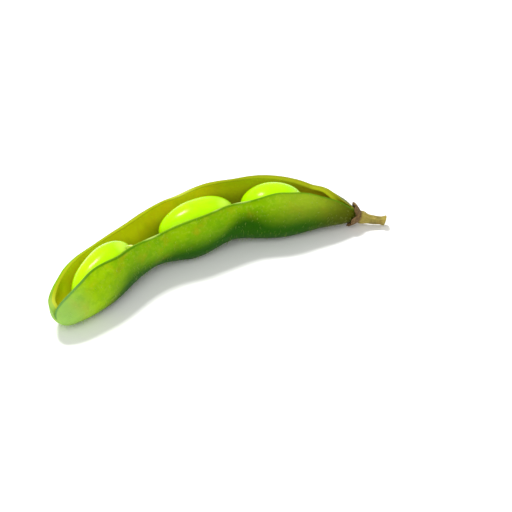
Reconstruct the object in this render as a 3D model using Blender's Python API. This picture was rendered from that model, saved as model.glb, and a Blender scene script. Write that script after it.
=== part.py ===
"""An opened soybean pod with its three beans and its dried stalk end, as edamame is served.

The pod lies on its keel with its slit up, leaning back a little, and rests on a flat spot
under each of its three swellings. +Z is up, +X runs from the blunt end to the stalk, and
+Y is the side that the pod bends towards. The origin is on the surface that it rests on,
under the middle of the object. Sizes are in millimetres until they become mesh points.
"""

import math
from functools import partial

import bmesh
import bpy
from mathutils import Matrix, Vector

MM = 0.001
WELD = 0.000002

# The pod's centre line: an arc that bends sideways and arches upwards.
POD_LENGTH = 62.0
SIDE_BEND = 9.9
ARCH_RISE = 2.95
BLUNT_TIP_HEIGHT = 4.25
STALK_TIP_HEIGHT = 3.6
STALK_DROOP = 1.3
STALK_DROOP_POWER = 10
LEAN = math.radians(17.0)

# Swellings and waists: (share of the length, half width, half height).
SWELLINGS = (
    (0.0, 5.0, 6.0),
    (0.185, 5.3, 6.3),
    (0.345, 4.7, 5.5),
    (0.51, 6.1, 7.3),
    (0.665, 5.5, 5.7),
    (0.785, 6.2, 6.3),
    (1.0, 5.4, 4.5),
)
BLUNT_ROUNDING = 0.2
STALK_ROUNDING = 0.3

# The slit's edges, as angles from the keel round to them: (share, near degrees, far degrees).
# Towards the stalk the far edge folds over to meet the near one.
SLIT_EDGES = (
    (0.0, 142.0, 112.0),
    (0.1, 134.0, 110.0),
    (0.23, 117.0, 106.0),
    (0.38, 107.0, 110.0),
    (0.51, 107.0, 109.0),
    (0.665, 118.0, 137.0),
    (0.785, 130.0, 132.0),
    (0.88, 139.0, 134.0),
    (0.96, 147.0, 205.0),
    (1.0, 150.0, 204.0),
)
SLIT_CLOSING_POWER = 30

# The wall, which thins to the slit's edges, and how far inside the pod's two tips its cavity
# ends, as shares of the length.
WALL = 0.9
EDGE_WALL = 0.5
WALL_THINNING_POWER = 4
CAVITY_INSET_BLUNT = 0.025
CAVITY_INSET_STALK = 0.035
CAVITY_EASING_POWER = 16
POD_STATIONS = 60
OUTSIDE_COLUMNS = 30
INSIDE_COLUMNS = 22

# Beans: (name, share of the pod, length, width, height, sink below the centre line, how much
# fuller the end towards the stalk is).
BEANS = (
    ("bean_1", 0.195, 13.8, 6.8, 7.4, 0.5, 0.15),
    ("bean_2", 0.538, 15.3, 7.9, 8.1, 1.05, 0.17),
    ("bean_3", 0.772, 11.3, 8.7, 8.5, 0.15, 0.04),
)
BEAN_BLUNTNESS = 0.9
BEAN_SEGMENTS = 28
BEAN_RINGS = 18

# The stalk end: a calyx of five dried lobes that cups the pod's tip, and its short stalk.
CALYX_GAP = 0.32
CALYX_WALL = 0.6
CALYX_CUP_SHARE = 0.994
CALYX_LOBE_SHARE = 0.01
CALYX_LOBES = 5
CALYX_POINTEDNESS = 1.6
CALYX_COLUMNS = 40
CALYX_ROWS = 8
CALYX_ROWS_IN_PEDICEL = 2
PEDICEL_LENGTH = 4.6
PEDICEL_RISE = 0.9
PEDICEL_RADII = ((0.0, 1.2), (0.3, 0.85), (0.8, 0.75), (1.0, 0.95))
PEDICEL_ROWS = 10


def eased(share, table, column=1):
    """The table's value at this share of the length, level at each of its rows."""
    for before, after in zip(table, table[1:]):
        if share <= after[0]:
            way = max(0.0, (share - before[0]) / (after[0] - before[0]))
            way = way * way * (3 - 2 * way)
            return before[column] + (after[column] - before[column]) * way
    return table[-1][column]


def tip_rounding(from_blunt, from_stalk):
    """1 along the pod, and a quarter of an ellipse down to 0 over each tip."""
    blunt = max(0.0, 1 - from_blunt / BLUNT_ROUNDING)
    stalk = max(0.0, 1 - from_stalk / STALK_ROUNDING)
    return math.sqrt(max(0.0, 1 - blunt * blunt)) * math.sqrt(max(0.0, 1 - stalk * stalk))


def centre_line(share):
    """The point on the pod's centre line."""
    hump = 4 * share * (1 - share)
    tips = BLUNT_TIP_HEIGHT + (STALK_TIP_HEIGHT - BLUNT_TIP_HEIGHT) * share
    droop = STALK_DROOP * share**STALK_DROOP_POWER
    return Vector((
        POD_LENGTH * (share - 0.5),
        SIDE_BEND * (hump - 0.5),
        tips + ARCH_RISE * hump - droop,
    ))


def section_frame(share):
    """(along, across, up): the directions of the pod's cross-section, leaning back."""
    step = 0.001
    along = (centre_line(share + step) - centre_line(share - step)).normalized()
    level = Vector((0, 0, 1)).cross(along).normalized()
    upright = along.cross(level)
    across = level * math.cos(LEAN) - upright * math.sin(LEAN)
    return along, across, along.cross(across)


def section_point(share, angle, half_width, half_height):
    """A point of an elliptical section, by its angle from the keel round towards +Y."""
    _, across, up = section_frame(share)
    return (
        centre_line(share)
        + across * (half_width * math.sin(angle))
        - up * (half_height * math.cos(angle))
    )


def slit_edge(share, side):
    """The angle from the keel to the slit's edge, near for a side below 0 and far above it.
    It closes to half a turn at the blunt tip."""
    closing = max(0.0, 1 - 2 * share) ** SLIT_CLOSING_POWER
    degrees = eased(share, SLIT_EDGES, 1 if side < 0 else 2)
    return math.radians(degrees + (180 - degrees) * closing)


def outside_point(share, side):
    """The pod's skin. side runs from -1 at the near edge of the slit to 1 at the far edge."""
    scale = tip_rounding(share, 1 - share)
    point = section_point(
        share,
        side * slit_edge(share, side),
        eased(share, SWELLINGS, 1) * scale,
        eased(share, SWELLINGS, 2) * scale,
    )
    point.z = max(0.0, point.z)
    return point


def inside_point(share, side):
    """The pod's lining, a wall's thickness within the skin."""
    wall = WALL - (WALL - EDGE_WALL) * abs(side) ** WALL_THINNING_POWER
    inset_share = (
        share
        + CAVITY_INSET_BLUNT * (1 - share) ** CAVITY_EASING_POWER
        - CAVITY_INSET_STALK * share**CAVITY_EASING_POWER
    )
    scale = tip_rounding(
        inset_share - CAVITY_INSET_BLUNT, 1 - CAVITY_INSET_STALK - inset_share
    )
    return section_point(
        inset_share,
        side * slit_edge(share, side),
        (eased(inset_share, SWELLINGS, 1) - wall) * scale,
        (eased(inset_share, SWELLINGS, 2) - wall) * scale,
    )


def formed_sheet(bm, rows, columns, place):
    """A grid whose points are moved to place(row share, column share), in millimetres."""
    made = bmesh.ops.create_grid(bm, x_segments=rows, y_segments=columns, size=0.5)
    for vert in made["verts"]:
        vert.co = place(vert.co.x + 0.5, vert.co.y + 0.5) * MM
    bmesh.ops.remove_doubles(bm, verts=made["verts"], dist=WELD)


def spread_to_tips(share):
    """Stations that lie closer together near the two tips."""
    return 0.5 - 0.5 * math.cos(math.pi * share)


def add_node(name, bm, material, root):
    """Makes the finished mesh an object of its own under the root."""
    bmesh.ops.recalc_face_normals(bm, faces=bm.faces)
    mesh = bpy.data.meshes.new(name)
    bm.to_mesh(mesh)
    bm.free()
    mesh.materials.append(material)
    mesh.shade_smooth()
    node = bpy.data.objects.new(name, mesh)
    bpy.context.scene.collection.objects.link(node)
    node.parent = root
    return node


def stops_round_pod():
    """The stops round one closed section, each (surface, side): over the skin from the near
    edge to the far one, back over the lining, and across the near edge to the start."""
    stops = [(outside_point, 2 * i / OUTSIDE_COLUMNS - 1) for i in range(OUTSIDE_COLUMNS + 1)]
    stops += [(inside_point, 1 - 2 * i / INSIDE_COLUMNS) for i in range(INSIDE_COLUMNS + 1)]
    return stops + stops[:1]


def pod_point(stops, row, column):
    """A point of the whole shell, by the shares of the way along it and round its section."""
    surface, side = stops[round(column * (len(stops) - 1))]
    return surface(spread_to_tips(row), side)


def add_pod(material, root):
    """The shell as one closed sheet, which runs round its wall and along the pod."""
    stops = stops_round_pod()
    bm = bmesh.new()
    formed_sheet(bm, POD_STATIONS, len(stops) - 1, partial(pod_point, stops))
    return add_node("pod", bm, material, root)


def bean_shape(unit, egg):
    """A sphere's point made a bean's: fuller at one end, and blunter than an ellipsoid."""
    fullness = 1 + egg * unit.x
    along = math.copysign(abs(unit.x) ** BEAN_BLUNTNESS, unit.x)
    return Vector((along, unit.y * fullness, unit.z * fullness))


def bean_point(unit, share, length, width, height, sink, egg):
    """A bean's point, bent along the pod's centre line."""
    shape = bean_shape(unit, egg)
    here = share + shape.x * length / 2 / POD_LENGTH
    _, across, up = section_frame(here)
    return (
        centre_line(here)
        + across * (shape.y * width / 2)
        + up * (shape.z * height / 2 - sink)
    )


def add_bean(name, form, material, root):
    """A bean that lies along the pod in its own swelling."""
    share, _, _, _, sink, _ = form
    along, across, up = section_frame(share)
    turn = Matrix((along, across, up)).transposed().to_4x4()
    place = Matrix.Translation((centre_line(share) - up * sink) * MM) @ turn
    bm = bmesh.new()
    bmesh.ops.create_uvsphere(
        bm, u_segments=BEAN_SEGMENTS, v_segments=BEAN_RINGS, radius=1.0,
        matrix=Matrix.Rotation(math.pi / 2, 4, "Y"),
    )
    for vert in bm.verts:
        vert.co = bean_point(vert.co, *form) * MM
    bmesh.ops.transform(bm, matrix=place.inverted(), verts=bm.verts)
    bean = add_node(name, bm, material, root)
    bean.matrix_basis = place
    return bean


def calyx_point(row, column, offset):
    """A point on the calyx's cup: row 0 behind the pod's tip, row 1 at the lobes' ends."""
    angle = 2 * math.pi * column
    tooth = abs(math.cos(CALYX_LOBES * angle / 2)) ** CALYX_POINTEDNESS
    share = 1 - row * (1 - CALYX_CUP_SHARE + CALYX_LOBE_SHARE * tooth)
    scale = tip_rounding(share, 1 - share)
    along, _, _ = section_frame(1.0)
    return section_point(
        share,
        angle,
        eased(share, SWELLINGS, 1) * scale + offset * math.sqrt(row),
        eased(share, SWELLINGS, 2) * scale + offset * math.sqrt(row),
    ) + along * (offset * (1 - row))


def pedicel_point(row, column, radius_share=1.0):
    """A point on the short stalk, which leaves the calyx along the pod and turns upwards."""
    along, across, up = section_frame(1.0)
    start = centre_line(1.0) + along * (CALYX_GAP + CALYX_WALL)
    angle = 2 * math.pi * column
    radius = eased(row, PEDICEL_RADII) * radius_share
    centre = start + along * (PEDICEL_LENGTH * row) + Vector((0, 0, PEDICEL_RISE * row * row))
    return centre + across * (radius * math.sin(angle)) - up * (radius * math.cos(angle))


def stalk_rings():
    """The rings of the stalk's one skin, each a function of the column: up the cup's inside,
    over the lobes, down its outside, and along the stalk to the middle of its cut end."""
    cup_rows = [index / CALYX_ROWS for index in range(CALYX_ROWS + 1)]
    pedicel_rows = [index / PEDICEL_ROWS for index in range(PEDICEL_ROWS + 1)]
    rings = [partial(calyx_point, row, offset=CALYX_GAP) for row in cup_rows]
    for row in reversed(cup_rows[CALYX_ROWS_IN_PEDICEL:]):
        rings.append(partial(calyx_point, row, offset=CALYX_GAP + CALYX_WALL))
    rings += [partial(pedicel_point, row) for row in pedicel_rows]
    rings.append(partial(pedicel_point, 1.0, radius_share=0.0))
    return rings


def add_stalk(material, root):
    """The calyx and the stalk, one solid."""
    rings = stalk_rings()
    steps = len(rings) - 1
    bm = bmesh.new()
    formed_sheet(
        bm, steps, CALYX_COLUMNS, lambda row, column: rings[round(row * steps)](column)
    )
    return add_node("stalk", bm, material, root)


def make_material(name, colour, roughness):
    """A Principled material; the colour is linear."""
    material = bpy.data.materials.new(name)
    material.use_nodes = True
    shader = material.node_tree.nodes["Principled BSDF"]
    shader.inputs["Base Color"].default_value = (*colour, 1.0)
    shader.inputs["Roughness"].default_value = roughness
    shader.inputs["Metallic"].default_value = 0.0
    return material


def settle_on_origin(root, nodes):
    """Moves the root so that the origin lies under the middle of the object."""
    bpy.context.view_layer.update()
    corners = [
        node.matrix_world @ vert.co for node in nodes for vert in node.data.vertices
    ]
    for axis in (0, 1):
        values = [corner[axis] for corner in corners]
        root.location[axis] = -(min(values) + max(values)) / 2


def main():
    for thing in list(bpy.data.objects):
        bpy.data.objects.remove(thing)
    root = bpy.data.objects.new("edamame", None)
    bpy.context.scene.collection.objects.link(root)

    skin = make_material("pod_skin", (0.25, 0.42, 0.02), 0.5)
    coat = make_material("bean_coat", (0.44, 0.83, 0.02), 0.3)
    dry = make_material("dry_calyx", (0.3, 0.2, 0.05), 0.8)

    nodes = [add_pod(skin, root)]
    for name, *form in BEANS:
        nodes.append(add_bean(name, form, coat, root))
    nodes.append(add_stalk(dry, root))
    settle_on_origin(root, nodes)


main()
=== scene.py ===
"""The looks of an opened edamame pod: its skin, lining and slit edges, its three moist beans,
the threads that hold them, the fine hairs on the skin, and the dried calyx with its stalk.

The pod's form repeats the formulas of its solids at a finer step, in millimetres, and is then
laid over them. The script is an add-on in layout, and runs as a script.
"""

import math
import random
from functools import lru_cache, partial

import bmesh
import bpy
from mathutils import Matrix, Vector, noise


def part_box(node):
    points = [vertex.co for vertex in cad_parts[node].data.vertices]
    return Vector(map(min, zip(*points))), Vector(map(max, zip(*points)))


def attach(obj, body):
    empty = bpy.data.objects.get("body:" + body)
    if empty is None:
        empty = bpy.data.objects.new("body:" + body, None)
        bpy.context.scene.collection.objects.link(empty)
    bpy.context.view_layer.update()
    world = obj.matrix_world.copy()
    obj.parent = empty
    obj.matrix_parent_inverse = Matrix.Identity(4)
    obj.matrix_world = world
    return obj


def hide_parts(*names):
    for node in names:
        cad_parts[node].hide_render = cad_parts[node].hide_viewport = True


bl_info = {
    "name": "Edamame pod",
    "version": (1, 0, 0),
    "blender": (4, 5, 0),
    "location": "3D View > Sidebar > Edamame",
    "description": "Builds the surfaces of an opened edamame pod round its solids",
    "category": "Object",
}

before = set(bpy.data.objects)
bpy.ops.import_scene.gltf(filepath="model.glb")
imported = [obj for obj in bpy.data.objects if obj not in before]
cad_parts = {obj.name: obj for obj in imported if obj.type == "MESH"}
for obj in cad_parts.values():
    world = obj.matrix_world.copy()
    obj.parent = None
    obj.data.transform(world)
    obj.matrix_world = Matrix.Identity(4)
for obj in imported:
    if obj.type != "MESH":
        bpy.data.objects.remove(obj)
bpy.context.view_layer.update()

MM = 0.001
# Points closer than this, in metres, are welded into one.
WELD = 0.0000005

# The pod's centre line and lean, as in its solids.
POD_LENGTH = 62.0
SIDE_BEND = 9.9
ARCH_RISE = 2.95
BLUNT_TIP_HEIGHT = 4.25
STALK_TIP_HEIGHT = 3.6
STALK_DROOP = 1.3
STALK_DROOP_POWER = 10
LEAN = math.radians(17.0)

# Swellings and waists: (share of the length, half width, half height).
SWELLINGS = (
    (0.0, 5.0, 6.0),
    (0.185, 5.3, 6.3),
    (0.345, 4.7, 5.5),
    (0.51, 6.1, 7.3),
    (0.665, 5.5, 5.7),
    (0.785, 6.2, 6.3),
    (1.0, 5.4, 4.5),
)
BLUNT_ROUNDING = 0.2
STALK_ROUNDING = 0.3

# The slit's edges, as angles from the keel round to them: (share, near degrees, far degrees).
# Towards the stalk the far edge folds over to meet the near one.
SLIT_EDGES = (
    (0.0, 142.0, 112.0),
    (0.1, 134.0, 110.0),
    (0.23, 117.0, 106.0),
    (0.38, 107.0, 110.0),
    (0.51, 107.0, 109.0),
    (0.665, 118.0, 137.0),
    (0.785, 130.0, 132.0),
    (0.88, 139.0, 134.0),
    (0.96, 147.0, 205.0),
    (1.0, 150.0, 204.0),
)
SLIT_CLOSING_POWER = 30
WALL = 0.9
EDGE_WALL = 0.5
WALL_THINNING_POWER = 4
CAVITY_INSET_BLUNT = 0.025
CAVITY_INSET_STALK = 0.035
CAVITY_EASING_POWER = 16
SOLID_STATIONS = 60
SOLID_COLUMNS = 30

# Beans: (name, node, share of the pod, length, width, height, sink below the centre line, how
# much fuller the end towards the stalk is).
BEANS = (
    ("bean_first", "bean_1", 0.195, 13.8, 6.8, 7.4, 0.5, 0.15),
    ("bean_middle", "bean_2", 0.538, 15.3, 7.9, 8.1, 1.05, 0.17),
    ("bean_last", "bean_3", 0.772, 11.3, 8.7, 8.5, 0.15, 0.04),
)
BEAN_BLUNTNESS = 0.9
# Where a bean's thread holds it, from the bean's middle: along, across and up, as a direction.
SCAR_DIRECTION = Vector((0.68, -0.52, 0.52)).normalized()

# The dried calyx and the stalk, as in their solid.
CALYX_GAP = 0.32
CALYX_WALL = 0.6
CALYX_CUP_SHARE = 0.994
CALYX_LOBE_SHARE = 0.01
CALYX_LOBES = 5
CALYX_POINTEDNESS = 1.6
PEDICEL_LENGTH = 4.6
PEDICEL_RISE = 0.9
PEDICEL_RADII = ((0.0, 1.2), (0.3, 0.85), (0.8, 0.75), (1.0, 0.95))

# How finely each surface is stepped.
POD_STATIONS = 250
SKIN_COLUMNS = 120
LINING_COLUMNS = 84
LIP_COLUMNS = 8
BEAN_SEGMENTS = 96
BEAN_RINGS = 64
CALYX_COLUMNS = 160
CALYX_ROWS = 24
CALYX_ROWS_IN_PEDICEL = 6
PEDICEL_ROWS = 30
THREAD_ROWS = 24
THREAD_COLUMNS = 18

# Relief reaches its full height where half the pod's width is this or more.
RELIEF_FULL_WIDTH = 2.5
# Relief on the skin, the lining and the beans: how wide each form is, in millimetres, and
# how often a fibre of the lining rises between the keel and an edge.
RIM_BEAD_WIDTH = 0.5
KEEL_RIDGE_WIDTH = 0.45
SWELL_SIZE = 5.5
GRAIN_SIZE = 1.1
DENT_SIZE = 4.0
FIBRE_SPACING = 0.9
FIBRE_RISES = 1.5
# The slit's lips are fully rounded where their edge is this far or further from closed.
LIP_FULL_OPENING = math.radians(25.0)
# How often the colour changes along a fibre of the lining, for each millimetre.
FIBRE_CHANGES_PER_MM = 0.12
# The noise that mottles every surface.
NOISE_DETAIL = 3.0
NOISE_ROUGHNESS = 0.55

# Where the slit's edge is paler: (side, share of the pod, half length, strength).
PALE_EDGES = (
    (-1, 0.135, 0.03, 0.5),
    (-1, 0.34, 0.045, 0.9),
    (-1, 0.655, 0.045, 0.9),
    (-1, 0.565, 0.03, 0.7),
    (1, 0.54, 0.06, 0.7),
    (1, 0.02, 0.06, 0.6),
)
PALE_EDGE_WIDTH = 0.6
# How wide the far edge is tinged with rust, and the shares of the pod between which it starts.
RUSTY_EDGE_WIDTH = 0.9
RUSTY_EDGE_START = (0.16, 0.34)
# Waists whose near side gets more or less painted shade: (share of the pod, half length, strength).
SHADED_WAISTS = ((0.345, 0.07, -0.35), (0.66, 0.055, 0.7))
# The shares of the pod between which the painted shade towards the keel starts.
KEEL_SHADE_START = (0.05, 0.22)
# The dark line under the near edge, partly the edge's own dark green and partly painted shadow
#  between the beans and the edge, strongest along the first swelling: how far below the edge it
#  lies, how wide it is, the shares of the pod between which it fades, how much of it is left
#  beyond them, and where it stops being grey.
NEAR_LINE_GAP = 0.3
NEAR_LINE_WIDTH = 0.32
NEAR_LINE_FADE = (0.32, 0.25)
NEAR_LINE_REST = 0.6
GREY_LINE_END = 0.15

# Each bean's thread: where it leaves the near edge, as a share of the bean's length ahead of
# its middle and of the way from the keel to the edge, and its shape.
THREAD_ROOT_AHEAD = 0.38
THREAD_ROOT_SIDE = 0.97
THREAD_BOW = 0.35
THREAD_TAPER = 0.45
THREAD_FLATNESS = 0.35
THREAD_END_START = 0.8

CALYX_RIBS = 20
STALK_RIBS = 9
CUT_END_RINGS = (0.9, 0.5, 0.0)

# How the skin's hairs stand: their lengths as shares of a long hair's, and how far they lean
# towards the blunt end and to either side.
HAIR_LENGTHS = (0.5, 1.15)
HAIR_LEAN_ALONG = (-0.9, -0.2)
HAIR_LEAN_ACROSS = 0.35
HAIR_FLOOR_GAP = 0.15
HAIR_ROOT_DEPTH = 0.08
HAIR_SIDES = 3
# How thick the hairs stand: everywhere, and how much more (amount, width or start) on the
# keel, at the slit's edges, towards the stalk and at the two waists.
HAIRS_EVERYWHERE = 0.16
HAIRS_ON_KEEL = (0.7, 0.16)
HAIRS_AT_EDGES = (0.3, 0.07)
HAIRS_AT_STALK = (0.35, 0.6)
HAIRS_AT_WAISTS = (0.1, 0.05)
HAIRY_WAISTS = (0.345, 0.665)

# A Mix node's colour sockets, which share their names with its value sockets.
MIX_FACTOR, MIX_UNDER, MIX_OVER, MIX_RESULT = 0, 6, 7, 2

# Studio lights: (name, azimuth and elevation in degrees, distance and size in metres).
KEY_LIGHT = ("key_light", -170.0, 66.0, 0.5, 0.105)
FRONT_LIGHT = ("front_light", -38.0, 46.0, 0.7, 0.45)
FLOOR_ROUGHNESS = 0.7

# The camera, as fitted to the photograph: where the middle of the pod falls in its 512 pixels.
PHOTO_PIXELS = 512
SENSOR_WIDTH = 36.0
LENS = 135.0
CLIP_START = 0.01
CAMERA_AZIMUTH = math.radians(-30.4)
CAMERA_ELEVATION = math.radians(38.5)
CAMERA_DISTANCE = 343.0
POD_MIDDLE = Vector((0.0, 0.0, 5.0))
POD_MIDDLE_PIXEL = (198.2, 242.9)


def linear(hex_colour):
    """An sRGB colour such as #7ea60a as linear red, green, blue and alpha."""
    parts = [int(hex_colour[i : i + 2], 16) / 255 for i in (1, 3, 5)]
    return (*[p / 12.92 if p <= 0.04045 else ((p + 0.055) / 1.055) ** 2.4 for p in parts], 1.0)


def per_mm(size):
    """A texture's scale, on coordinates in metres, for marks of this size in millimetres."""
    return 1 / (size * MM)


def eased(share, table, column=1):
    """The table's value at this share of the length, level at each of its rows."""
    for before, after in zip(table, table[1:]):
        if share <= after[0]:
            way = max(0.0, (share - before[0]) / (after[0] - before[0]))
            way = way * way * (3 - 2 * way)
            return before[column] + (after[column] - before[column]) * way
    return table[-1][column]


def tip_rounding(from_blunt, from_stalk):
    """1 along the pod, and a quarter of an ellipse down to 0 over each tip."""
    blunt = max(0.0, 1 - from_blunt / BLUNT_ROUNDING)
    stalk = max(0.0, 1 - from_stalk / STALK_ROUNDING)
    return math.sqrt(max(0.0, 1 - blunt * blunt)) * math.sqrt(max(0.0, 1 - stalk * stalk))


def centre_line(share):
    """The point on the pod's centre line."""
    arch = 4 * share * (1 - share)
    tips = BLUNT_TIP_HEIGHT + (STALK_TIP_HEIGHT - BLUNT_TIP_HEIGHT) * share
    droop = STALK_DROOP * share**STALK_DROOP_POWER
    return Vector((
        POD_LENGTH * (share - 0.5),
        SIDE_BEND * (arch - 0.5),
        tips + ARCH_RISE * arch - droop,
    ))


@lru_cache(maxsize=None)
def section_frame(share):
    """(along, across, up): the directions of the pod's cross-section, leaning back."""
    step = 0.001
    along = (centre_line(share + step) - centre_line(share - step)).normalized()
    level = Vector((0, 0, 1)).cross(along).normalized()
    upright = along.cross(level)
    across = level * math.cos(LEAN) - upright * math.sin(LEAN)
    return along, across, along.cross(across)


def section_point(share, angle, half_width, half_height):
    """A point of an elliptical section, by its angle from the keel round towards +Y."""
    _, across, up = section_frame(share)
    return (
        centre_line(share)
        + across * (half_width * math.sin(angle))
        - up * (half_height * math.cos(angle))
    )


@lru_cache(maxsize=None)
def edge_angle(share, column):
    """The angle from the keel to one of the slit's edges, which closes to half a turn at the
    blunt tip. The column is the edge's in SLIT_EDGES."""
    closing = max(0.0, 1 - 2 * share) ** SLIT_CLOSING_POWER
    degrees = eased(share, SLIT_EDGES, column)
    return math.radians(degrees + (180 - degrees) * closing)


def slit_edge(share, side):
    """The angle to the slit's edge, near for a side below 0 and far above it."""
    return edge_angle(share, 1 if side < 0 else 2)


@lru_cache(maxsize=None)
def skin_halves(share):
    """Half the width and half the height of the pod's skin."""
    scale = tip_rounding(share, 1 - share)
    return eased(share, SWELLINGS, 1) * scale, eased(share, SWELLINGS, 2) * scale


@lru_cache(maxsize=None)
def lining_section(share):
    """(share, half width, half height, scale) of the section that the lining lies within."""
    inset_share = (
        share
        + CAVITY_INSET_BLUNT * (1 - share) ** CAVITY_EASING_POWER
        - CAVITY_INSET_STALK * share**CAVITY_EASING_POWER
    )
    scale = tip_rounding(
        inset_share - CAVITY_INSET_BLUNT, 1 - CAVITY_INSET_STALK - inset_share
    )
    return inset_share, eased(inset_share, SWELLINGS, 1), eased(inset_share, SWELLINGS, 2), scale


def lining_halves(share, side):
    """The share that the lining's section lies at, and half its width and height, where the
    wall thins towards the slit's edges."""
    inset_share, half_width, half_height, scale = lining_section(share)
    wall = WALL - (WALL - EDGE_WALL) * abs(side) ** WALL_THINNING_POWER
    return inset_share, (half_width - wall) * scale, (half_height - wall) * scale


def plain_skin_point(share, side):
    """The skin of the solid. side runs from -1 at the slit's near edge to 1 at its far edge."""
    point = section_point(share, side * slit_edge(share, side), *skin_halves(share))
    point.z = max(0.0, point.z)
    return point


def bean_point(unit, share, length, width, height, sink, egg):
    """A bean's point, from a point of the unit sphere, bent along the pod's centre line."""
    fullness = 1 + egg * unit.x
    along = math.copysign(abs(unit.x) ** BEAN_BLUNTNESS, unit.x)
    here = share + along * length / 2 / POD_LENGTH
    _, across, up = section_frame(here)
    return (
        centre_line(here)
        + across * (unit.y * fullness * width / 2)
        + up * (unit.z * fullness * height / 2 - sink)
    )


def solid_offset():
    """How far the solids lie from these formulas' own origin, in millimetres."""
    stations = [0.5 - 0.5 * math.cos(math.pi * i / SOLID_STATIONS) for i in range(SOLID_STATIONS + 1)]
    sides = [2 * i / SOLID_COLUMNS - 1 for i in range(SOLID_COLUMNS + 1)]
    points = [plain_skin_point(share, side) for share in stations for side in sides]
    lowest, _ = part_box("pod")
    return Vector((
        lowest[0] / MM - min(point.x for point in points),
        lowest[1] / MM - min(point.y for point in points),
        0.0,
    ))


OFFSET = solid_offset()


def rough(point, size):
    """Smooth noise of about this size in millimetres, from -1 to 1."""
    return noise.noise(point / size)


def hump(distance, width):
    """1 at no distance, and down smoothly to almost 0 at twice the width."""
    return math.exp(-((distance / width) ** 2))


def formed_sheet(bm, rows, columns, place):
    """A grid whose points are moved to place(row share, column share), in millimetres."""
    made = bmesh.ops.create_grid(bm, x_segments=rows, y_segments=columns, size=0.5)
    for vert in made["verts"]:
        vert.co = (place(vert.co.x + 0.5, vert.co.y + 0.5) + OFFSET) * MM
    bmesh.ops.remove_doubles(bm, verts=made["verts"], dist=WELD)


def add_piece(name, bm, materials, node=None):
    """Makes the mesh a piece that rides with the pod, and stands for a node if one is named."""
    bmesh.ops.recalc_face_normals(bm, faces=bm.faces)
    mesh = bpy.data.meshes.new(name)
    bm.to_mesh(mesh)
    bm.free()
    for material in materials:
        mesh.materials.append(material)
    mesh.shade_smooth()
    piece = bpy.data.objects.new(name, mesh)
    bpy.context.scene.collection.objects.link(piece)
    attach(piece, "root")
    if node:
        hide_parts(node)
    return piece


def outward_of(share, angle, half_width, half_height):
    """The direction out of an elliptical section at this angle."""
    _, across, up = section_frame(share)
    out = across * (half_height * math.sin(angle)) - up * (half_width * math.cos(angle))
    return out.normalized()


def arc_length(angle, half_width, half_height):
    """The length round a section that this angle spans, in millimetres, nearly enough."""
    return angle * (half_width + half_height) / 2


def skin_point(share, side, sizes):
    """The skin with the raised slit edges, the keel's ridge and its low unevenness."""
    half_width, half_height = skin_halves(share)
    angle = side * slit_edge(share, side)
    plain = section_point(share, angle, half_width, half_height)
    fullness = min(1.0, half_width / RELIEF_FULL_WIDTH)
    from_rim = arc_length(slit_edge(share, side) - abs(angle), half_width, half_height)
    from_keel = arc_length(angle, half_width, half_height)
    raised = (
        sizes.rim_bead / MM * hump(from_rim, RIM_BEAD_WIDTH)
        + sizes.keel_ridge / MM * hump(from_keel, KEEL_RIDGE_WIDTH)
        + sizes.swell / MM * rough(plain, SWELL_SIZE)
        + sizes.grain / MM * rough(plain, GRAIN_SIZE)
    )
    point = plain + outward_of(share, angle, half_width, half_height) * (raised * fullness)
    point.z = max(0.0, point.z)
    return point


def lining_point(share, side, sizes):
    """The lining, with fine fibres that run from the keel to the slit."""
    inset_share, half_width, half_height = lining_halves(share, side)
    angle = side * slit_edge(share, side)
    plain = section_point(inset_share, angle, half_width, half_height)
    fibre = Vector((share * POD_LENGTH / FIBRE_SPACING, side * FIBRE_RISES, 0.0))
    raised = sizes.grain / MM * noise.noise(fibre)
    return plain - outward_of(inset_share, angle, half_width, half_height) * raised


def lip_point(share, side, way, sizes):
    """The slit's rounded edge, from the skin (way 0) over to the lining (way 1)."""
    angle = side * slit_edge(share, side)
    _, across, up = section_frame(share)
    onwards = (across * math.cos(angle) + up * math.sin(angle)) * side
    openness = min(1.0, (math.pi - slit_edge(share, side)) / LIP_FULL_OPENING)
    crown = sizes.lip_crown / MM * openness * math.sin(math.pi * way)
    return skin_point(share, side, sizes).lerp(lining_point(share, side, sizes), way) + (
        onwards * crown
    )


def stops_round_pod():
    """The stops round one section: (zone, side, way), over the skin, the far lip, the lining
    and the near lip."""
    stops = [("skin", 2 * i / SKIN_COLUMNS - 1, 0.0) for i in range(SKIN_COLUMNS + 1)]
    stops += [("lip", 1.0, i / LIP_COLUMNS) for i in range(1, LIP_COLUMNS)]
    stops += [("lining", 1 - 2 * i / LINING_COLUMNS, 1.0) for i in range(LINING_COLUMNS + 1)]
    stops += [("lip", -1.0, 1 - i / LIP_COLUMNS) for i in range(1, LIP_COLUMNS)]
    return stops


def rim_gap(zone, share, side, way):
    """Millimetres from the lip's crown, counted up over the skin and down over the lining."""
    if zone == "lip":
        return (0.5 - way) * EDGE_WALL
    away = (1 - abs(side)) * slit_edge(share, side)
    if zone == "skin":
        return EDGE_WALL / 2 + arc_length(away, *skin_halves(share))
    return -EDGE_WALL / 2 - arc_length(away, *lining_halves(share, side)[1:])


def pale_edge(share, side):
    """How pale the slit's edge is here, from 0 to 1."""
    pale_spots = [
        strength * hump(share - middle, half_length)
        for edge, middle, half_length, strength in PALE_EDGES
        if edge * side > 0
    ]
    return min(1.0, sum(pale_spots))


def ramp(share, start, end):
    """0 before the start and 1 past the end, for shares that may run either way."""
    return min(1.0, max(0.0, (share - start) / (end - start)))


def near_line_and_shadow(share, side, gap):
    """How dark the line under the near edge is here, from 0 to 1: partly the edge's own dark
    green, partly painted shadow between the beans and the edge.
    """
    if side > 0:
        return 0.0
    across = hump(gap - NEAR_LINE_GAP, NEAR_LINE_WIDTH)
    return across * max(NEAR_LINE_REST, ramp(share, *NEAR_LINE_FADE))


def rusty_edge(share, side, gap):
    """How rusty the far edge is here, from 0 to 1."""
    if side < 0:
        return 0.0
    return hump(gap, RUSTY_EDGE_WIDTH) * ramp(share, *RUSTY_EDGE_START)


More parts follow.
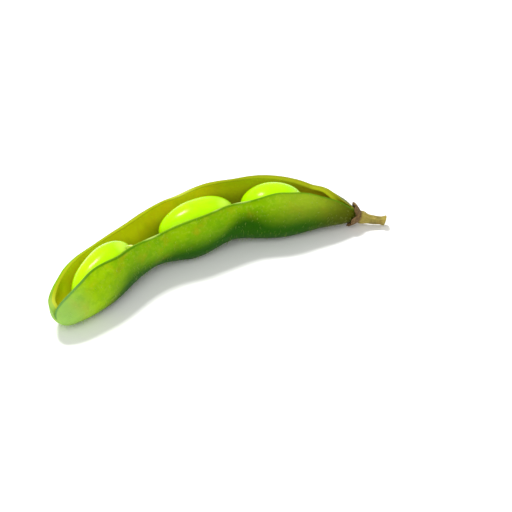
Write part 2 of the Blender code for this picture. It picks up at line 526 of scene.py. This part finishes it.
def painted_keel_shade(share, side):
    """How much painted shade deepens the skin's green, from 0 at the slit to 1 at the keel, and
    more or less at a waist's near side."""
    waists = [
        strength * hump(share - middle, half_length)
        for middle, half_length, strength in SHADED_WAISTS
    ]
    return (1 - abs(side)) * (1 + sum(waists) * (1 - side) / 2) * ramp(share, *KEEL_SHADE_START)


def formed_pod(sizes):
    """The whole shell as one closed skin, with the attributes that its materials read."""
    makers = {
        "skin": lambda share, side, way: skin_point(share, side, sizes),
        "lip": lambda share, side, way: lip_point(share, side, way, sizes),
        "lining": lambda share, side, way: lining_point(share, side, sizes),
    }
    stops = stops_round_pod()
    bm = bmesh.new()
    along_layer = bm.verts.layers.float.new("along")
    gap_layer = bm.verts.layers.float.new("rim_gap")
    pale_layer = bm.verts.layers.float.new("pale_edge")
    near_shadow_layer = bm.verts.layers.float.new("near_line_and_shadow")
    grey_layer = bm.verts.layers.float.new("grey_line")
    keel_shade_layer = bm.verts.layers.float.new("painted_keel_shade")
    rusty_layer = bm.verts.layers.float.new("rusty_edge")
    made = bmesh.ops.create_grid(
        bm, x_segments=POD_STATIONS, y_segments=len(stops), size=0.5
    )
    for vert in made["verts"]:
        row = round((vert.co.x + 0.5) * POD_STATIONS) / POD_STATIONS
        share = 0.5 - 0.5 * math.cos(math.pi * row)
        zone, side, way = stops[round((vert.co.y + 0.5) * len(stops)) % len(stops)]
        vert.co = (makers[zone](share, side, way) + OFFSET) * MM
        gap = rim_gap(zone, share, side, way)
        vert[along_layer] = share
        vert[gap_layer] = gap
        vert[pale_layer] = pale_edge(share, side) * hump(gap, PALE_EDGE_WIDTH)
        vert[near_shadow_layer] = near_line_and_shadow(share, side, gap)
        vert[grey_layer] = near_line_and_shadow(share, side, gap) * ramp(share, GREY_LINE_END, 0.0)
        # Painted shade towards the keel and at the waists.
        vert[keel_shade_layer] = painted_keel_shade(share, side)
        vert[rusty_layer] = rusty_edge(share, side, gap)
    bmesh.ops.remove_doubles(bm, verts=bm.verts, dist=WELD)
    for face in bm.faces:
        mean_gap = sum(vert[gap_layer] for vert in face.verts) / len(face.verts)
        face.material_index = 0 if mean_gap > 0 else 1
    return bm


def add_node(tree, kind, settings=(), inputs=()):
    """Adds a node with its settings. An input is a value or the output that feeds it."""
    node = tree.nodes.new(kind)
    for name, value in dict(settings).items():
        setattr(node, name, value)
    for name, value in dict(inputs).items():
        if isinstance(value, bpy.types.NodeSocket):
            tree.links.new(value, node.inputs[name])
        else:
            node.inputs[name].default_value = value
    return node


def paint(tree, shader, ground, coats):
    """Gives the shader the ground colour under coats of others. A coat is (source, value
    where it is clear, value where it is full, its full strength, its colour)."""
    colour = (*ground, 1.0)
    for source, clear, full, strength, coat_colour in coats:
        mask = add_node(
            tree,
            "ShaderNodeMapRange",
            {"interpolation_type": "SMOOTHSTEP"},
            {"Value": source, "From Min": clear, "From Max": full, "To Max": strength},
        )
        mix = add_node(
            tree,
            "ShaderNodeMix",
            {"data_type": "RGBA"},
            {MIX_FACTOR: mask.outputs["Result"], MIX_UNDER: colour, MIX_OVER: linear(coat_colour)},
        )
        colour = mix.outputs[MIX_RESULT]
    tree.links.new(colour, shader.inputs["Base Color"])


def roughen(tree, shader, source, smoothest, roughest):
    """Runs the shader's roughness between two values as the source runs from 0 to 1."""
    roughness = add_node(
        tree,
        "ShaderNodeMapRange",
        inputs={"Value": source, "To Min": smoothest, "To Max": roughest},
    )
    tree.links.new(roughness.outputs["Result"], shader.inputs["Roughness"])


def new_surface(name, finish):
    """(material, its tree, its shader) with the shader's own constant values set."""
    material = bpy.data.materials.new(name)
    material.use_nodes = True
    tree = material.node_tree
    shader = tree.nodes["Principled BSDF"]
    for socket, value in finish.items():
        shader.inputs[socket].default_value = value
    return material, tree, shader


def pattern_sources(tree, attributes, grain_sizes):
    """What a material's pattern reads: the piece's own attributes, and then noise of each size
    in millimetres on the piece's own coordinates. Plant cells are a few hundredths of a
    millimetre across, so each surface's finest noise stands for groups of them, as coarse as
    it needs to be to show."""
    values = [
        add_node(tree, "ShaderNodeAttribute", {"attribute_name": name}).outputs["Fac"]
        for name in attributes
    ]
    place = add_node(tree, "ShaderNodeTexCoord").outputs["Object"]
    for size in grain_sizes:
        settings = {"Scale": per_mm(size), "Detail": NOISE_DETAIL, "Roughness": NOISE_ROUGHNESS}
        grain = add_node(tree, "ShaderNodeTexNoise", inputs={"Vector": place, **settings})
        values.append(grain.outputs["Fac"])
    return values


def relief_on(tree, shader, heights):
    """Bump on the shader from (source, height in millimetres), the coarsest first."""
    normal = None
    for source, height in heights:
        inputs = {"Height": source, "Distance": height * MM}
        if normal:
            inputs["Normal"] = normal
        normal = add_node(tree, "ShaderNodeBump", inputs=inputs).outputs["Normal"]
    tree.links.new(normal, shader.inputs["Normal"])


def pod_skin_surface(colour):
    """Living soybean pod skin: a waxy, faintly downy rind of fine cells. It is satin and mottled
    with tan; painted shade deepens its green towards the keel, and a painted sheen turns the
    blunt tip grey-green."""
    material, tree, shader = new_surface("Fresh soybean pod skin", {
        "IOR": 1.42,
        "Specular IOR Level": 0.07,
        "Specular Tint": (0.7, 0.9, 0.25, 1.0),
        "Subsurface Weight": 0.1,
        "Subsurface Radius": (0.6, 1.0, 0.1),
        "Subsurface Scale": 1.0 * MM,
    })
    along, gap, pale, line, grey, keel_shade, rusty, broad, blotch, mottle, cell = pattern_sources(
        tree,
        ("along", "rim_gap", "pale_edge", "near_line_and_shadow", "grey_line", "painted_keel_shade", "rusty_edge"),
        (14.0, 4.5, 1.6, 0.45),
    )
    paint(tree, shader, colour, (
        (broad, 0.44, 0.66, 0.5, "#a6c604"),
        (along, 0.26, 0.14, 0.5, "#9fc608"),
        (along, 0.56, 0.72, 0.5, "#719c00"),
        (blotch, 0.52, 0.7, 0.45, "#b39a14"),
        (mottle, 0.44, 0.66, 0.34, "#5a9800"),
        (cell, 0.5, 0.7, 0.3, "#b0c83c"),
        (along, 0.7, 0.86, 0.6, "#98aa28"),
        # Painted shade: darker green towards the keel and on the second waist's near side.
        (keel_shade, 0.1, 0.55, 0.97, "#164c00"),
        # Painted sheen: the blunt tip turned grey-green.
        (along, 0.1, 0.0, 0.75, "#90bb62"),
        (along, 0.84, 0.98, 0.9, "#464a06"),
        # The dark line under the near edge: partly its own dark green, partly painted shadow between
        # the beans and the edge.
        (line, 0.15, 0.75, 0.85, "#487c06"),
        (grey, 0.1, 0.7, 0.5, "#7ba668"),
        (gap, 0.5, 0.25, 0.45, "#47790c"),
        (gap, 0.3, 0.1, 0.5, "#7c9a10"),
        (rusty, 0.2, 0.8, 0.75, "#8d8a14"),
        (pale, 0.4, 0.95, 0.5, "#cfe07a"),
    ))
    roughen(tree, shader, mottle, smoothest=0.4, roughest=0.58)
    relief_on(tree, shader, ((mottle, 0.16), (cell, 0.05)))
    return material


def pod_lining_surface(colour):
    """The moist inner rind of the pod: smooth and satin, drawn into faint fibres that run
    from the keel to the slit, olive towards the stalk, and yellow-green at the blunt end, partly
    its own tone and partly painted light in the shaded hollow there. Painted shade makes it a
    darker green down in the hollow."""
    material, tree, shader = new_surface("Moist soybean pod lining", {
        "IOR": 1.42,
        "Specular IOR Level": 0.05,
        "Specular Tint": (0.9, 0.9, 0.25, 1.0),
        "Subsurface Weight": 0.12,
        "Subsurface Radius": (0.8, 1.0, 0.1),
        "Subsurface Scale": 1.0 * MM,
    })
    along, gap, pale, broad, blotch, cell = pattern_sources(
        tree, ("along", "rim_gap", "pale_edge"), (12.0, 4.0, 0.6)
    )
    place = add_node(tree, "ShaderNodeCombineXYZ", inputs={"X": along, "Y": gap})
    fibre_place = add_node(
        tree,
        "ShaderNodeMapping",
        inputs={
            "Vector": place.outputs["Vector"],
            "Scale": (POD_LENGTH / FIBRE_SPACING, FIBRE_CHANGES_PER_MM, 1.0),
        },
    )
    fibre = add_node(
        tree,
        "ShaderNodeTexNoise",
        inputs={"Vector": fibre_place.outputs["Vector"], "Scale": 1.0, "Detail": NOISE_DETAIL},
    ).outputs["Fac"]
    paint(tree, shader, colour, (
        # Yellow-green at the blunt end: partly the lining's own tone, partly painted light in its
        # shaded hollow.
        (along, 0.3, 0.08, 0.9, "#cdee0a"),
        (broad, 0.44, 0.62, 0.5, "#d8b010"),
        (blotch, 0.5, 0.7, 0.35, "#94b404"),
        (fibre, 0.5, 0.8, 0.3, "#c4c22a"),
        # Painted shade down in the hollow, away from the slit's edges.
        (gap, -1.6, -4.8, 0.85, "#5a7602"),
        (along, 0.5, 0.85, 0.8, "#a39a14"),
        (gap, -0.5, -0.2, 0.85, "#8f9c14"),
        (pale, 0.3, 0.95, 0.6, "#cfd85a"),
    ))
    roughen(tree, shader, blotch, smoothest=0.3, roughest=0.45)
    relief_on(tree, shader, ((fibre, 0.08), (cell, 0.03)))
    return material


def bean_coat_surface(colour):
    """The thin wet seed coat of a fresh soybean: lit through from inside, darker green at its
    end towards the stalk, which is painted shade, with a tight highlight from its film of water
    and a paler scar at its thread."""
    material, tree, shader = new_surface("Wet soybean seed coat", {
        "IOR": 1.33,
        "Specular IOR Level": 0.1,
        "Specular Tint": (0.9, 1.0, 0.4, 1.0),
        "Subsurface Weight": 0.25,
        "Subsurface Radius": (1.0, 1.2, 0.1),
        "Subsurface Scale": 1.5 * MM,
        "Coat Weight": 0.3,
        "Coat IOR": 1.33,
        "Coat Roughness": 0.17,
    })
    from_scar, ahead, broad, blotch, cell = pattern_sources(
        tree, ("from_scar", "ahead"), (9.0, 3.0, 0.5)
    )
    paint(tree, shader, colour, (
        (broad, 0.42, 0.7, 0.5, "#baec08"),
        (blotch, 0.55, 0.75, 0.3, "#8fd402"),
        # Painted shade: darker green at each bean's end towards the stalk.
        (ahead, 0.1, 1.0, 0.6, "#7cbc02"),
        (from_scar, 2.6, 0.9, 0.4, "#d6ee5c"),
    ))
    roughen(tree, shader, blotch, smoothest=0.2, roughest=0.3)
    relief_on(tree, shader, ((blotch, 0.12), (cell, 0.012)))
    return material


def seed_thread_surface(colour):
    """The pale, half clear thread of plant tissue that feeds each bean."""
    material, tree, shader = new_surface("Pale seed thread", {
        "Roughness": 0.4,
        "IOR": 1.42,
        "Subsurface Weight": 0.3,
        "Subsurface Radius": (0.8, 1.0, 0.4),
        "Subsurface Scale": 1.0 * MM,
    })
    (strand,) = pattern_sources(tree, (), (0.7,))
    paint(tree, shader, colour, ((strand, 0.45, 0.7, 0.6, "#98b830"),))
    relief_on(tree, shader, ((strand, 0.05),))
    return material


def dry_calyx_surface(colour):
    """Withered calyx and stalk: dull brown fibre, straw coloured where it dried last."""
    material, tree, shader = new_surface("Withered soybean calyx", {"IOR": 1.5})
    towards_pod, blotch, strand, cell = pattern_sources(
        tree, ("towards_pod",), (2.2, 0.8, 0.25)
    )
    paint(tree, shader, colour, (
        (towards_pod, 0.35, 0.0, 0.75, "#a0943a"),
        (blotch, 0.45, 0.7, 0.6, "#42300b"),
        (strand, 0.5, 0.75, 0.5, "#9a7b3c"),
        (cell, 0.55, 0.75, 0.4, "#c2ac70"),
    ))
    roughen(tree, shader, strand, smoothest=0.7, roughest=0.95)
    relief_on(tree, shader, ((strand, 0.2), (cell, 0.06)))
    return material


def skin_hair_surface(colour):
    """Dead, air-filled plant hairs: straw white, tinged with the green round them, and soft
    to the light."""
    material, tree, shader = new_surface("Straw-white pod hair", {"Roughness": 0.6, "IOR": 1.4})
    (tone,) = pattern_sources(tree, (), (6.0,))
    paint(tree, shader, colour, ((tone, 0.45, 0.65, 0.7, "#aab858"),))
    return material


def plain_surface(name, colour, roughness):
    """A matt studio surface, which isn't part of the object."""
    material, _, shader = new_surface(name, {"Roughness": roughness})
    shader.inputs["Base Color"].default_value = (*colour, 1.0)
    return material


def bean_object(row, sizes, material):
    """One bean, from a sphere whose poles lie at its two ends."""
    name, node, *shape = row
    bm = bmesh.new()
    scar_layer = bm.verts.layers.float.new("from_scar")
    ahead_layer = bm.verts.layers.float.new("ahead")
    bmesh.ops.create_uvsphere(
        bm,
        u_segments=BEAN_SEGMENTS,
        v_segments=BEAN_RINGS,
        radius=1.0,
        matrix=Matrix.Rotation(math.pi / 2, 4, "Y"),
    )
    scar = bean_point(SCAR_DIRECTION, *shape)
    middle = bean_point(Vector((0, 0, 0)), *shape)
    for vert in bm.verts:
        point = bean_point(vert.co, *shape)
        vert[ahead_layer] = vert.co.x
        vert[scar_layer] = (point - scar).length
        dent = sizes.dent / MM * rough(point, DENT_SIZE)
        point += (point - middle).normalized() * dent
        vert.co = (point + OFFSET) * MM
    return add_piece(name, bm, [material], node)


def thread_point(shape, sizes, row, column):
    """A point on the flat thread from the slit's near edge (row 0) to the bean (row 1)."""
    share, length = shape[0], shape[1]
    scar = bean_point(SCAR_DIRECTION, *shape)
    root_share = share + THREAD_ROOT_AHEAD * length / POD_LENGTH
    root = lining_point(root_share, -THREAD_ROOT_SIDE, bpy.context.scene.edamame_pod)
    along, _, up = section_frame(root_share)
    bow = up * (THREAD_BOW * math.sin(math.pi * row))
    breadth = sizes.thread_width / MM * (1 - THREAD_TAPER * math.sin(math.pi * row / 2))
    thickness = breadth * THREAD_FLATNESS
    end = 1 - max(0.0, (abs(2 * row - 1) - THREAD_END_START) / (1 - THREAD_END_START)) ** 2
    turn = 2 * math.pi * column
    return (
        root.lerp(scar, row)
        + bow
        + along * (breadth / 2 * math.cos(turn) * math.sqrt(max(0.0, end)))
        + up * (thickness / 2 * math.sin(turn) * math.sqrt(max(0.0, end)))
    )


def calyx_point(row, column, offset, rib_depth):
    """A point on the calyx's cup: row 0 behind the pod's tip, row 1 at the lobes' ends."""
    angle = 2 * math.pi * column
    tooth = abs(math.cos(CALYX_LOBES * angle / 2)) ** CALYX_POINTEDNESS
    share = 1 - row * (1 - CALYX_CUP_SHARE + CALYX_LOBE_SHARE * tooth)
    half_width, half_height = skin_halves(share)
    along, _, _ = section_frame(1.0)
    rib = rib_depth * math.cos(CALYX_RIBS * angle) * row
    spread = (offset + rib) * math.sqrt(row)
    return section_point(share, angle, half_width + spread, half_height + spread) + along * (
        offset * (1 - row)
    )


def pedicel_point(row, column, rib_depth, radius_share=1.0):
    """A point on the short stalk, which leaves the calyx along the pod and turns upwards."""
    along, across, up = section_frame(1.0)
    start = centre_line(1.0) + along * (CALYX_GAP + CALYX_WALL)
    angle = 2 * math.pi * column
    rib = rib_depth * math.cos(STALK_RIBS * angle)
    radius = (eased(row, PEDICEL_RADII) + rib) * radius_share
    centre = start + along * (PEDICEL_LENGTH * row) + Vector((0, 0, PEDICEL_RISE * row * row))
    return centre + across * (radius * math.sin(angle)) - up * (radius * math.cos(angle))


def stalk_rings(rib_depth):
    """The rings of the stalk's one skin, each (how far towards the pod, a function of the
    column): up the cup's inside, over the lobes, down its outside, and along the stalk."""
    cup_rows = [i / CALYX_ROWS for i in range(CALYX_ROWS + 1)]
    pedicel_rows = [i / PEDICEL_ROWS for i in range(PEDICEL_ROWS + 1)]
    outer = CALYX_GAP + CALYX_WALL
    rings = [
        (row, partial(calyx_point, row, offset=CALYX_GAP, rib_depth=0.0)) for row in cup_rows
    ]
    for row in reversed(cup_rows[CALYX_ROWS_IN_PEDICEL:]):
        rings.append((row, partial(calyx_point, row, offset=outer, rib_depth=rib_depth)))
    for row in pedicel_rows:
        rings.append((-row, partial(pedicel_point, row, rib_depth=rib_depth)))
    for radius_share in CUT_END_RINGS:
        end = partial(pedicel_point, 1.0, rib_depth=rib_depth, radius_share=radius_share)
        rings.append((-1.0, end))
    return rings


def hair_transform(share, side, sizes, draw):
    """Where one hair stands, or None where the skin has none: its root is sunk in the skin."""
    half_width, half_height = skin_halves(share)
    angle = side * slit_edge(share, side)
    out = outward_of(share, angle, half_width, half_height)
    along, _, _ = section_frame(share)
    sideways = out.cross(along)
    length = sizes.length / MM * draw.uniform(*HAIR_LENGTHS)
    direction = (
        out
        + along * draw.uniform(*HAIR_LEAN_ALONG)
        + sideways * draw.gauss(0.0, HAIR_LEAN_ACROSS)
    ).normalized()
    root = plain_skin_point(share, side)
    tip = root + direction * length
    if root.z < HAIR_FLOOR_GAP or tip.z < HAIR_FLOOR_GAP:
        return None
    middle = (root + direction * (length / 2 - HAIR_ROOT_DEPTH) + OFFSET) * MM
    turn = Vector((0, 0, 1)).rotation_difference(direction)
    return Matrix.LocRotScale(middle, turn, Vector((1, 1, length * MM)))


def hair_density(share, side):
    """The chance that a hair stands here: most on the keel and towards the stalk."""
    on_keel, keel_width = HAIRS_ON_KEEL
    at_edges, edge_width = HAIRS_AT_EDGES
    at_stalk, stalk_start = HAIRS_AT_STALK
    at_waists, waist_width = HAIRS_AT_WAISTS
    return (
        HAIRS_EVERYWHERE
        + on_keel * hump(side, keel_width)
        + at_edges * hump(1 - abs(side), edge_width)
        + at_stalk * ramp(share, stalk_start, 1.0)
        + at_waists * sum(hump(share - waist, waist_width) for waist in HAIRY_WAISTS)
    )


def length_setting(name, description, default):
    """A size of this many millimetres that shows as a length."""
    return bpy.props.FloatProperty(
        name=name, description=description, default=default * MM, unit="LENGTH", precision=5
    )


def colour_setting(name, description, hex_colour):
    """A colour that shows as a colour, with an sRGB default."""
    return bpy.props.FloatVectorProperty(
        name=name, description=description, default=linear(hex_colour)[:3], subtype="COLOR",
        min=0.0, max=1.0,
    )


class EdamamePodSettings(bpy.types.PropertyGroup):
    """Sizes and colours of the pod's shell."""

    rim_bead: length_setting("Rim bead", "How far the slit's edges stand out of the skin", 0.14)
    keel_ridge: length_setting("Keel ridge", "How far the seam along the keel stands out", 0.3)
    lip_crown: length_setting("Lip crown", "How far the slit's cut edge is rounded out", 0.15)
    swell: length_setting("Unevenness", "Height of the skin's broad unevenness", 0.16)
    grain: length_setting("Grain", "Height of the fine grain on skin and lining", 0.035)
    skin_colour: colour_setting("Skin", "Ground colour of the pod's skin", "#7cac00")
    lining_colour: colour_setting("Lining", "Ground colour of the pod's lining", "#d2d80c")


class EdamameBeanSettings(bpy.types.PropertyGroup):
    """Sizes and colours of the beans and of their threads."""

    dent: length_setting("Dents", "Height of the broad dents in a bean's coat", 0.09)
    coat_colour: colour_setting("Coat", "Ground colour of the beans", "#a3db00")
    thread_width: length_setting("Thread width", "Width of the thread that holds a bean", 0.65)
    thread_colour: colour_setting("Thread", "Colour of the threads", "#c3d566")


class EdamameHairSettings(bpy.types.PropertyGroup):
    """The fine hairs on the skin."""

    count: bpy.props.IntProperty(
        name="Tries", description="How many places are tried for a hair", default=3400, min=0
    )
    seed: bpy.props.IntProperty(name="Seed", description="Changes where hairs stand", default=7)
    length: length_setting("Length", "Length of a long hair", 0.95)
    width: length_setting("Width", "Width of a hair at its root, coarser than life", 0.048)
    colour: colour_setting("Hair", "Colour of the hairs", "#b6c968")


class EdamameStalkSettings(bpy.types.PropertyGroup):
    """The dried calyx and stalk."""

    rib_depth: length_setting("Rib depth", "Depth of the dried fibres' ribs", 0.05)
    colour: colour_setting("Calyx", "Ground colour of the dried calyx", "#5f441c")


class EdamameStageSettings(bpy.types.PropertyGroup):
    """The studio: floor, light and daylight."""

    floor_width: bpy.props.FloatProperty(
        name="Floor width", description="Width of the floor", default=5.0, unit="LENGTH"
    )
    floor_colour: colour_setting("Floor", "Colour of the floor", "#fafaf8")
    daylight: bpy.props.FloatProperty(
        name="Daylight", description="Strength of the white surroundings", default=0.5, min=0.0
    )
    key_power: bpy.props.FloatProperty(
        name="Key light", description="Power of the main light, in watts", default=2.6, min=0.0
    )
    front_power: bpy.props.FloatProperty(
        name="Front light", description="Power of the front light, in watts", default=2.0, min=0.0
    )


class EDAMAME_OT_pod_shell(bpy.types.Operator):
    """Adds the pod's shell: skin, slit edges and lining as one closed piece"""

    bl_idname = "edamame.pod_shell"
    bl_label = "Pod shell"

    def execute(self, context):
        sizes = context.scene.edamame_pod
        surfaces = [
            pod_skin_surface(sizes.skin_colour),
            pod_lining_surface(sizes.lining_colour),
        ]
        add_piece("pod_shell", formed_pod(sizes), surfaces, "pod")
        return {"FINISHED"}


class EDAMAME_OT_beans(bpy.types.Operator):
    """Adds the three beans, each in its own swelling"""

    bl_idname = "edamame.beans"
    bl_label = "Beans"

    def execute(self, context):
        sizes = context.scene.edamame_beans
        coat = bean_coat_surface(sizes.coat_colour)
        for row in BEANS:
            bean_object(row, sizes, coat)
        return {"FINISHED"}


class EDAMAME_OT_threads(bpy.types.Operator):
    """Adds the pale thread that holds each bean to the slit's near edge"""

    bl_idname = "edamame.threads"
    bl_label = "Seed threads"

    def execute(self, context):
        sizes = context.scene.edamame_beans
        tissue = seed_thread_surface(sizes.thread_colour)
        for name, _, *shape in BEANS:
            bm = bmesh.new()
            formed_sheet(bm, THREAD_ROWS, THREAD_COLUMNS, partial(thread_point, shape, sizes))
            add_piece(f"{name}_thread", bm, [tissue])
        return {"FINISHED"}


class EDAMAME_OT_stalk(bpy.types.Operator):
    """Adds the withered calyx and the short stalk as one piece"""

    bl_idname = "edamame.stalk"
    bl_label = "Calyx and stalk"

    def execute(self, context):
        sizes = context.scene.edamame_stalk
        rings = stalk_rings(sizes.rib_depth / MM)
        steps = len(rings) - 1
        bm = bmesh.new()
        layer = bm.verts.layers.float.new("towards_pod")
        made = bmesh.ops.create_grid(bm, x_segments=steps, y_segments=CALYX_COLUMNS, size=0.5)
        for vert in made["verts"]:
            towards_pod, ring = rings[round((vert.co.x + 0.5) * steps)]
            vert[layer] = towards_pod
            vert.co = (ring(vert.co.y + 0.5) + OFFSET) * MM
        bmesh.ops.remove_doubles(bm, verts=bm.verts, dist=WELD)
        add_piece("calyx_and_stalk", bm, [dry_calyx_surface(sizes.colour)], "stalk")
        return {"FINISHED"}


class EDAMAME_OT_hairs(bpy.types.Operator):
    """Adds the short pale hairs that stand on the skin"""

    bl_idname = "edamame.hairs"
    bl_label = "Skin hairs"

    def execute(self, context):
        sizes = context.scene.edamame_hairs
        draw = random.Random(sizes.seed)
        bm = bmesh.new()
        for _ in range(sizes.count):
            share, side, chance = draw.random(), draw.uniform(-1.0, 1.0), draw.random()
            if chance > hair_density(share, side):
                continue
            place = hair_transform(share, side, sizes, draw)
            if place:
                bmesh.ops.create_cone(
                    bm, cap_ends=True, segments=HAIR_SIDES, radius1=sizes.width / 2,
                    radius2=0.0, depth=1.0, matrix=place,
                )
        add_piece("skin_hairs", bm, [skin_hair_surface(sizes.colour)])
        return {"FINISHED"}


def place_round(azimuth, elevation):
    """The direction towards a viewer at this azimuth and elevation, in radians."""
    return Vector((
        math.sin(azimuth) * math.cos(elevation),
        -math.cos(azimuth) * math.cos(elevation),
        math.sin(elevation),
    ))


def add_camera(context):
    """The camera at the photograph's angle, aimed so that the pod falls where it does there."""
    back = place_round(CAMERA_AZIMUTH, CAMERA_ELEVATION)
    right = Vector((0, 0, 1)).cross(back).normalized()
    up = back.cross(right)
    middle = POD_MIDDLE + OFFSET
    place = middle + back * CAMERA_DISTANCE
    per_pixel = CAMERA_DISTANCE * SENSOR_WIDTH / LENS / PHOTO_PIXELS
    pixels_right = PHOTO_PIXELS / 2 - POD_MIDDLE_PIXEL[0]
    pixels_down = PHOTO_PIXELS / 2 - POD_MIDDLE_PIXEL[1]
    aim = middle + (right * pixels_right - up * pixels_down) * per_pixel
    data = bpy.data.cameras.new("photo_camera")
    data.lens = LENS
    data.sensor_width = SENSOR_WIDTH
    data.clip_start = CLIP_START
    camera = bpy.data.objects.new("photo_camera", data)
    camera.location = place * MM
    camera.rotation_mode = "QUATERNION"
    facing_middle = Matrix((right, up, back)).transposed().to_quaternion()
    turn_to_aim = (-back).rotation_difference(aim - place)
    camera.rotation_quaternion = turn_to_aim @ facing_middle
    context.scene.collection.objects.link(camera)
    context.scene.camera = camera


def add_light(context, row, power):
    """A square soft light that faces the pod."""
    name, azimuth, elevation, distance, size = row
    data = bpy.data.lights.new(name, "AREA")
    data.energy = power
    data.size = size
    light = bpy.data.objects.new(name, data)
    towards = place_round(math.radians(azimuth), math.radians(elevation))
    light.location = towards * distance
    light.rotation_mode = "QUATERNION"
    light.rotation_quaternion = (-towards).to_track_quat("-Z", "Y")
    context.scene.collection.objects.link(light)


def add_floor(context, width, colour):
    """A pale floor at the height that the pod rests on."""
    bm = bmesh.new()
    bmesh.ops.create_grid(bm, x_segments=1, y_segments=1, size=width / 2)
    mesh = bpy.data.meshes.new("floor")
    bm.to_mesh(mesh)
    bm.free()
    mesh.materials.append(plain_surface("Matt white studio floor", colour, FLOOR_ROUGHNESS))
    floor = bpy.data.objects.new("floor", mesh)
    context.scene.collection.objects.link(floor)


class EDAMAME_OT_stage(bpy.types.Operator):
    """Adds the floor, the lights, the surroundings and the camera"""

    bl_idname = "edamame.stage"
    bl_label = "Stage"

    def execute(self, context):
        stage = context.scene.edamame_stage
        add_floor(context, stage.floor_width, stage.floor_colour)
        add_light(context, KEY_LIGHT, stage.key_power)
        add_light(context, FRONT_LIGHT, stage.front_power)
        world = bpy.data.worlds.new("daylight")
        world.use_nodes = True
        background = world.node_tree.nodes["Background"]
        background.inputs["Color"].default_value = (1.0, 1.0, 1.0, 1.0)
        background.inputs["Strength"].default_value = stage.daylight
        context.scene.world = world
        context.scene.view_settings.view_transform = "Standard"
        add_camera(context)
        return {"FINISHED"}


class EDAMAME_PT_sidebar(bpy.types.Panel):
    """The sidebar's list of pieces, with their sizes and colours"""

    bl_idname = "EDAMAME_PT_sidebar"
    bl_label = "Edamame pod"
    bl_space_type = "VIEW_3D"
    bl_region_type = "UI"
    bl_category = "Edamame"

    def draw(self, context):
        for settings_name, operators in PANEL_ROWS:
            box = self.layout.box()
            settings = getattr(context.scene, settings_name)
            for setting in settings.__annotations__:
                box.prop(settings, setting)
            for operator in operators:
                box.operator(operator.bl_idname)


SETTINGS = {
    "edamame_pod": EdamamePodSettings,
    "edamame_beans": EdamameBeanSettings,
    "edamame_hairs": EdamameHairSettings,
    "edamame_stalk": EdamameStalkSettings,
    "edamame_stage": EdamameStageSettings,
}
PANEL_ROWS = (
    ("edamame_pod", (EDAMAME_OT_pod_shell,)),
    ("edamame_beans", (EDAMAME_OT_beans, EDAMAME_OT_threads)),
    ("edamame_hairs", (EDAMAME_OT_hairs,)),
    ("edamame_stalk", (EDAMAME_OT_stalk,)),
    ("edamame_stage", (EDAMAME_OT_stage,)),
)
OPERATORS = [operator for _, operators in PANEL_ROWS for operator in operators]


def register():
    for name, settings in SETTINGS.items():
        bpy.utils.register_class(settings)
        setattr(bpy.types.Scene, name, bpy.props.PointerProperty(type=settings))
    for part in (*OPERATORS, EDAMAME_PT_sidebar):
        bpy.utils.register_class(part)


def unregister():
    for part in (EDAMAME_PT_sidebar, *reversed(OPERATORS)):
        bpy.utils.unregister_class(part)
    for name, settings in SETTINGS.items():
        delattr(bpy.types.Scene, name)
        bpy.utils.unregister_class(settings)


def main():
    register()
    bpy.ops.edamame.stage()
    bpy.ops.edamame.pod_shell()
    bpy.ops.edamame.beans()
    bpy.ops.edamame.threads()
    bpy.ops.edamame.stalk()
    bpy.ops.edamame.hairs()


if __name__ == "__main__":
    main()
